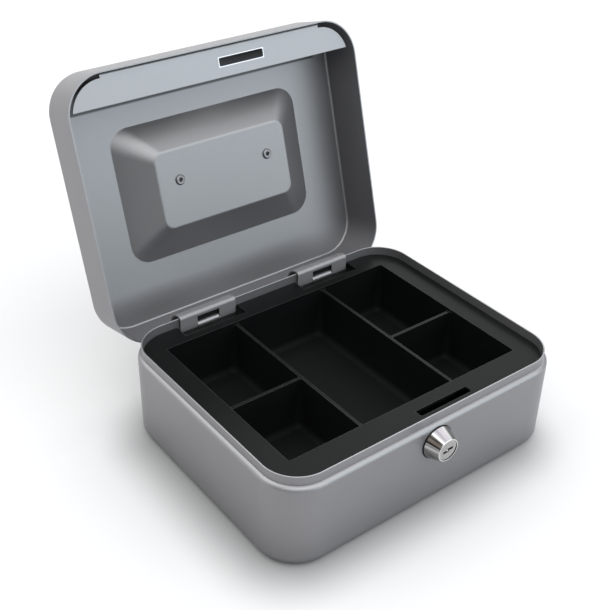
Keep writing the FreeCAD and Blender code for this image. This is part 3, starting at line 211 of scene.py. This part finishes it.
class Finish(Graph):
    """A material around one Principled shader."""

    def __init__(self, name, **constants):
        self.material = bpy.data.materials.new(name)
        self.material.use_nodes = True
        super().__init__(self.material.node_tree)
        self.shader = self.tree.nodes["Principled BSDF"]
        for socket, value in constants.items():
            self.set(socket.replace("_", " "), value)

    def set(self, socket, value):
        self.feed(self.shader.inputs[socket], value)

    def bump(self, height, strength, distance):
        self.set("Normal", self.node("ShaderNodeBump", None,
                                     {"Height": height, "Strength": strength, "Distance": distance}))

    def edges(self, radius):
        """1 on edges that the radius would round, 0 on flat and gently curved places."""
        rounded = self.node("ShaderNodeBevel", {"samples": 4}, {"Radius": radius})
        plain = self.node("ShaderNodeNewGeometry", output="Normal")
        return self.ramp(1 - self.along(rounded, plain), 0.02, 0.25)

    def lid_place(self):
        """Place on the open lid, from its hinge line."""
        return self.vector("SUBTRACT", self.place(), LID_HINGE)


def make_camera():
    """Camera at the photograph's place, with its slight roll."""
    back = Vector((
        math.sin(CAMERA_AZIMUTH) * math.cos(CAMERA_ELEVATION),
        -math.cos(CAMERA_AZIMUTH) * math.cos(CAMERA_ELEVATION),
        math.sin(CAMERA_ELEVATION),
    ))
    level = (-back).cross(UP).normalized()
    upright = level.cross(-back)
    right = math.cos(CAMERA_ROLL) * level + math.sin(CAMERA_ROLL) * upright
    up = -math.sin(CAMERA_ROLL) * level + math.cos(CAMERA_ROLL) * upright
    data = bpy.data.cameras.new("photo_camera")
    data.lens = CAMERA_LENS
    data.sensor_width = CAMERA_SENSOR
    data.clip_start, data.clip_end = CAMERA_CLIP
    camera = bpy.data.objects.new("photo_camera", data)
    bpy.context.scene.collection.objects.link(camera)
    turn = Matrix((right, up, back)).transposed()
    camera.matrix_world = Matrix.Translation(CAMERA_PLACE) @ turn.to_4x4()
    bpy.context.scene.camera = camera


def make_surroundings():
    """Studio round the box: white backdrop, bright overhead, a key light, and dim round the camera.

    A narrow row of cards gives bright metal its streaks.
    """
    world = bpy.data.worlds.new("studio")
    bpy.context.scene.world = world
    world.use_nodes = True
    sky = Graph(world.node_tree)
    ray = sky.node("ShaderNodeTexCoord", output="Generated")
    shade = DIM
    for way, start, full, tone in (BACKDROP, OVERHEAD, KEY):
        shade = sky.mix(sky.ramp(sky.along(ray, way), start, full), shade, tone)
    row = sky.band(sky.along(ray, BACK), *CARD_ROW, CARD_SOFT)
    arch = sky.node("ShaderNodeMath", {"operation": "ARCTAN2"},
                    {0: sky.along(ray, UP), 1: sky.along(ray, -RIGHT)})
    for low, high, tone in CARDS:
        card = sky.band(arch, math.radians(low), math.radians(high), CARD_SOFT)
        shade = sky.mix(row * card, shade, tone)
    sky.feed(world.node_tree.nodes["Background"].inputs["Color"], shade)


def make_floor():
    """Pale floor, with a painted shadow round the foot of the box, and darker towards the camera."""
    bpy.ops.mesh.primitive_plane_add(size=FLOOR_SIZE, location=(0, 0, 0))
    floor = bpy.context.active_object
    floor.name = "studio_floor"
    pale = Finish("pale_floor", Roughness=0.9)
    place = pale.place()
    tone = pale.mix(pale.noise(3.0), *FLOOR_TONES)
    tone = pale.mix(pale.ramp(pale.along(place, CAMERA_SIDE), *DIM_REACH), tone, DIM_FLOOR)
    # Painted shadow round the foot of the box, its middle shifted to the front and left.
    beside = pale.vector("ABSOLUTE", pale.vector("ADD", place, SHADOW_SHIFT))
    beside = pale.vector("MAXIMUM", pale.vector("SUBTRACT", beside, FOOT_HALF), (0, 0, 0))
    apart = pale.length(beside) - FOOT_CORNER
    pale.set("Base Color", pale.mix(pale.ramp(apart, *SHADOW_REACH), SHADOW_FLOOR, tone))
    floor.data.materials.append(pale.material)


def grey(value):
    """Grey with a touch of violet."""
    return (1.02 * value, value, 1.04 * value, 1)


def painted_shade_behind_plate(paint):
    """Places inside the lid that lie deep behind the lock plate, darkened as a painted shadow of the plate.
    """
    place = paint.lid_place()
    forward = paint.band(paint.along(place, LID_FRONT), 131.8 * MM, 150 * MM, 0.6 * MM)
    inside = paint.band(paint.along(place, LID_TOP), 14 * MM, 35.8 * MM, 0.15 * MM)
    return forward * inside * paint.band(paint.along(place, RIGHT), -88 * MM, 88 * MM, 2 * MM)


def rivet_painted_shade(paint):
    """Painted shade in the seam round each rivet's head and in the hole in its middle."""
    place = paint.vector("SUBTRACT", paint.vector("ABSOLUTE", paint.place()), RIVET_HEAD)
    across = paint.along(place, RIGHT)
    upward = paint.along(place, LID_FRONT)
    head = paint.band(across * across + upward * upward, (1.4 * MM) ** 2, (2.75 * MM) ** 2, 0.6 * MM ** 2)
    return 1 - head


def painted_shade_behind_arms(paint):
    """Places on the base's back lip that the hinge arms cover, darkened as a painted shadow of the arms."""
    place = paint.place()
    across = paint.band(abs(paint.along(place, RIGHT)), 24.5 * MM, 63 * MM, 0.3 * MM)
    inside = paint.band(paint.along(place, BACK), 76 * MM, 77.3 * MM, 0.1 * MM)
    return across * inside * paint.band(paint.along(place, UP), 52 * MM, 58.5 * MM, 0.2 * MM)


def slot_edge_bare_and_highlight(paint):
    """Cut edges of the slot in the lock plate, told by its middle and its half length and half width; they
    are paler as bare metal and as a painted highlight.
    """
    place = paint.lid_place()
    across = abs(paint.along(place, RIGHT) - 16.7 * MM) - 15.7 * MM
    upward = abs(paint.along(place, LID_FRONT) - 146.32 * MM) - 2.5 * MM
    outside = paint.node("ShaderNodeMath", {"operation": "MAXIMUM"}, {0: across, 1: upward})
    return 1 - paint.ramp(outside, 0.35 * MM, 0.6 * MM)


def silver_paint(name, shade=0.222, metallic=0.82, marks=()):
    """Satin silver-grey coat: fine metallic sparkle, slight orange peel, paler on its cut edges as worn
    coat and as a painted highlight.

    Each mark is a function that picks places, and their tone as a multiple of the shade.
    """
    paint = Finish(name, Metallic=metallic)
    sparkle = paint.noise(2600, 1.0)
    cloud = paint.noise(22, 3.0)
    tone = paint.mix(cloud, grey(0.96 * shade), grey(1.04 * shade))
    tone = paint.mix(paint.ramp(sparkle, 0.62, 0.78) * 0.25, tone, grey(1.5 * shade))
    # Paler edges: worn coat and a painted highlight.
    tone = paint.mix(paint.edges(0.45 * MM) * 0.5, tone, grey(2.2 * shade))
    for places, multiple in marks:
        tone = paint.mix(places(paint), tone, grey(multiple * shade))
    paint.set("Base Color", tone)
    paint.set("Roughness", 0.40 + 0.06 * cloud)
    peel = paint.noise(650, 2.0) + 0.4 * sparkle
    paint.bump(peel, 0.12, 0.05 * MM)
    return paint.material


def tray_plastic():
    """Black moulded plastic with a fine grain, paler on its edges as a painted highlight, and duller deep
    in the compartments.
    """
    plastic = Finish("tray_plastic", IOR=1.46, Specular_IOR_Level=0.08)
    grain = plastic.noise(1500, 2.0)
    cloud = plastic.noise(35, 3.0)
    tone = plastic.mix(cloud, (0.003, 0.0032, 0.0033, 1), (0.0045, 0.0047, 0.0048, 1))
    # Painted highlight: the edges are paler.
    tone = plastic.mix(plastic.edges(0.4 * MM) * 0.8, tone, (0.075, 0.078, 0.078, 1))
    plastic.set("Base Color", tone)
    height = plastic.along(plastic.place(), UP)
    plastic.set("Roughness", 0.60 + 0.10 * cloud - 0.32 * plastic.ramp(height, 24 * MM, 42 * MM))
    plastic.bump(grain, 0.25, 0.06 * MM)
    return plastic.material


def bright_chrome():
    """Mirror-bright plating with faint polishing haze."""
    chrome = Finish("bright_chrome", Metallic=1.0)
    haze = chrome.noise(120, 3.0)
    chrome.set("Base Color", chrome.mix(haze, (0.36, 0.36, 0.355, 1), (0.43, 0.43, 0.425, 1)))
    chrome.set("Roughness", 0.07 + 0.10 * haze)
    chrome.bump(chrome.noise(900, 2.0), 0.03, 0.02 * MM)
    return chrome.material


def lock_chrome():
    """Bright plating of the lock, with painted highlights on its rims, and painted shade in the keyway and
    in the gap round the plug.
    """
    chrome = Finish("lock_chrome", Metallic=1.0)
    haze = chrome.noise(300, 3.0)
    place = chrome.vector("SUBTRACT", chrome.place(), LOCK_FACE)
    reach = chrome.length(chrome.vector("MULTIPLY", place, RIGHT + UP))
    soft = 0.05 * MM
    # Painted highlights: bright bands on the rims of the bezel and the plug.
    bezel_rim_highlight = chrome.band(reach, 6.25 * MM, 6.95 * MM, soft)
    plug_rim_highlight = chrome.band(reach, 5.5 * MM, 5.8 * MM, soft)
    # Painted shade: the gap round the plug and the keyway go near black and rougher.
    gap = chrome.band(reach, 5.88 * MM, 6.10 * MM, soft)
    inward = chrome.band(chrome.along(place, BACK), 0.2 * MM, 14.2 * MM, 0.1 * MM)
    keyway = inward * (1 - chrome.ramp(reach, 5.0 * MM, 5.4 * MM))
    keyway_and_gap_shade = gap + keyway
    tone = chrome.mix(haze, (0.38, 0.375, 0.37, 1), (0.44, 0.435, 0.43, 1))
    tone = chrome.mix(bezel_rim_highlight + plug_rim_highlight, tone, (0.62, 0.615, 0.61, 1))
    chrome.set("Base Color", chrome.mix(keyway_and_gap_shade, tone, (0.012, 0.012, 0.012, 1)))
    chrome.set("Roughness", 0.06 + 0.08 * haze + 0.3 * keyway_and_gap_shade)
    chrome.bump(chrome.noise(900, 2.0), 0.03, 0.02 * MM)
    return chrome.material


def zinc_plate():
    """Zinc-plated steel, drawn and slightly clouded."""
    zinc = Finish("zinc_plate", Metallic=1.0)
    cloud = zinc.noise(300, 3.0)
    drawn = zinc.noise(900, 2.0, (0.05, 1, 1))
    zinc.set("Base Color", zinc.mix(cloud, (0.34, 0.345, 0.35, 1), (0.44, 0.445, 0.445, 1)))
    zinc.set("Roughness", 0.24 + 0.2 * drawn)
    zinc.bump(drawn, 0.1, 0.03 * MM)
    return zinc.material


def stamped_brass():
    """Stamped brass with a light tarnish."""
    brass = Finish("stamped_brass", Metallic=1.0)
    cloud = brass.noise(400, 3.0)
    brass.set("Base Color", brass.mix(cloud, (0.60, 0.42, 0.16, 1), (0.78, 0.58, 0.25, 1)))
    brass.set("Roughness", 0.25 + 0.2 * cloud)
    brass.bump(brass.noise(1200, 2.0), 0.08, 0.02 * MM)
    return brass.material


def dress_nodes(finishes):
    """Gives every CAD node the finish of its record slot, or a finish of its own."""
    # The hinge arms', rivets' and base's coats are copies of the lid's in lighter or darker shades: painted
    # light and shade for how the light falls on each.
    hinge_paint = silver_paint("hinge_paint", 0.18, 0.35)
    # The rivets' coat carries painted shade in the seam round the head and in its hole.
    rivet_paint = silver_paint("rivet_paint", 0.20, marks=((rivet_painted_shade, 0.28),))
    lock_finish = lock_chrome()
    own = {
        # The base's coat carries a painted shadow behind the hinge arms.
        "base_shell": silver_paint("base_paint", 0.240, marks=((painted_shade_behind_arms, 0.12),)),
        # The lid's coat carries a painted shadow behind the lock plate.
        "lid_shell": silver_paint("lid_paint", marks=((painted_shade_behind_plate, 0.28),)),
        "hinge_arm_left": hinge_paint,
        "hinge_arm_right": hinge_paint,
        "handle_rivet_left": rivet_paint,
        "handle_rivet_right": rivet_paint,
        # The plate's coat is paler on the slot's cut edges: bare metal and a painted highlight.
        "lock_plate": silver_paint("plate_paint", 0.27, marks=((slot_edge_bare_and_highlight, 2.4),)),
        "lock_housing": lock_finish,
        "lock_plug": lock_finish,
    }
    for row in frame["record"]["subparts"]:
        finish = own.get(row["node"], finishes[row["material_slot"]])
        for slot in NODES[row["node"]].material_slots:
            slot.material = finish


def select_faces(piece, wanted):
    """Selects, in edit mode, the faces that the test picks."""
    bpy.ops.mesh.select_all(action="DESELECT")
    bpy.ops.object.mode_set(mode="OBJECT")
    for face in piece.data.polygons:
        face.select = wanted(face)
    bpy.ops.object.mode_set(mode="EDIT")


def put_down(piece, name, body, finish):
    """Leaves edit mode and gives the piece its name, place, smooth look, finish and body."""
    bpy.ops.mesh.select_all(action="SELECT")
    bpy.ops.mesh.normals_make_consistent(inside=False)
    bpy.ops.object.mode_set(mode="OBJECT")
    bpy.ops.object.transform_apply(location=True, rotation=True, scale=True)
    bpy.ops.object.shade_smooth_by_angle(angle=SMOOTH_ANGLE)
    piece.name = name
    piece.data.name = name
    piece.data.materials.append(finish)
    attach(piece, body)


def bezel_foot_ring(finish):
    """Black ring round the foot of the bezel on the front wall."""
    bpy.ops.object.select_all(action="DESELECT")
    bpy.ops.mesh.primitive_circle_add(vertices=96, radius=SEAL_RADIUS, location=BEZEL_FOOT,
                                      rotation=FACING_FRONT)
    seal = bpy.context.active_object
    bpy.ops.object.mode_set(mode="EDIT")
    bpy.ops.mesh.select_all(action="SELECT")
    bpy.ops.mesh.extrude_region()
    bpy.ops.transform.resize(value=(SEAL_SWELL, SEAL_SWELL, SEAL_SWELL))
    bpy.ops.mesh.select_all(action="SELECT")
    bpy.ops.mesh.extrude_region_move(TRANSFORM_OT_translate={"value": (0, -SEAL_DEPTH, 0)})
    bpy.ops.object.mode_set(mode="OBJECT")
    rounding = seal.modifiers.new("rounding", "BEVEL")
    rounding.width = SEAL_ROUNDING
    rounding.segments = 3
    rounding.angle_limit = SHARP_ANGLE
    bpy.ops.object.modifier_apply(modifier=rounding.name)
    bpy.ops.object.mode_set(mode="EDIT")
    put_down(seal, "bezel_foot_ring", "base", finish)


def keyway_pin(finish):
    """Round-ended pin across the low half of the keyway, which keeps a wrong key out."""
    bpy.ops.object.select_all(action="DESELECT")
    bpy.ops.mesh.primitive_cylinder_add(vertices=32, radius=PIN_RADIUS, depth=PIN_LENGTH,
                                        location=KEYWAY_LOW, rotation=FACING_FRONT)
    pin = bpy.context.active_object
    bpy.ops.object.mode_set(mode="EDIT")
    bpy.ops.mesh.select_mode(type="FACE")
    select_faces(pin, lambda face: face.normal.z > 0.9)
    bpy.ops.mesh.bevel(offset=PIN_ROUNDING, segments=7, affect="EDGES")
    bpy.ops.mesh.select_all(action="SELECT")
    bpy.ops.transform.translate(value=(0, PIN_LENGTH / 2, 0))
    put_down(pin, "keyway_pin", "plug", finish)


make_camera()
make_surroundings()
make_floor()
record_finishes = {
    "paint": silver_paint("silver_paint", 0.232),
    "tray_plastic": tray_plastic(),
    "chrome": bright_chrome(),
    "zinc_steel": zinc_plate(),
    "brass": stamped_brass(),
}
dress_nodes(record_finishes)
bezel_foot_ring(record_finishes["tray_plastic"])
keyway_pin(record_finishes["chrome"])
bpy.context.scene.view_settings.view_transform = "Standard"
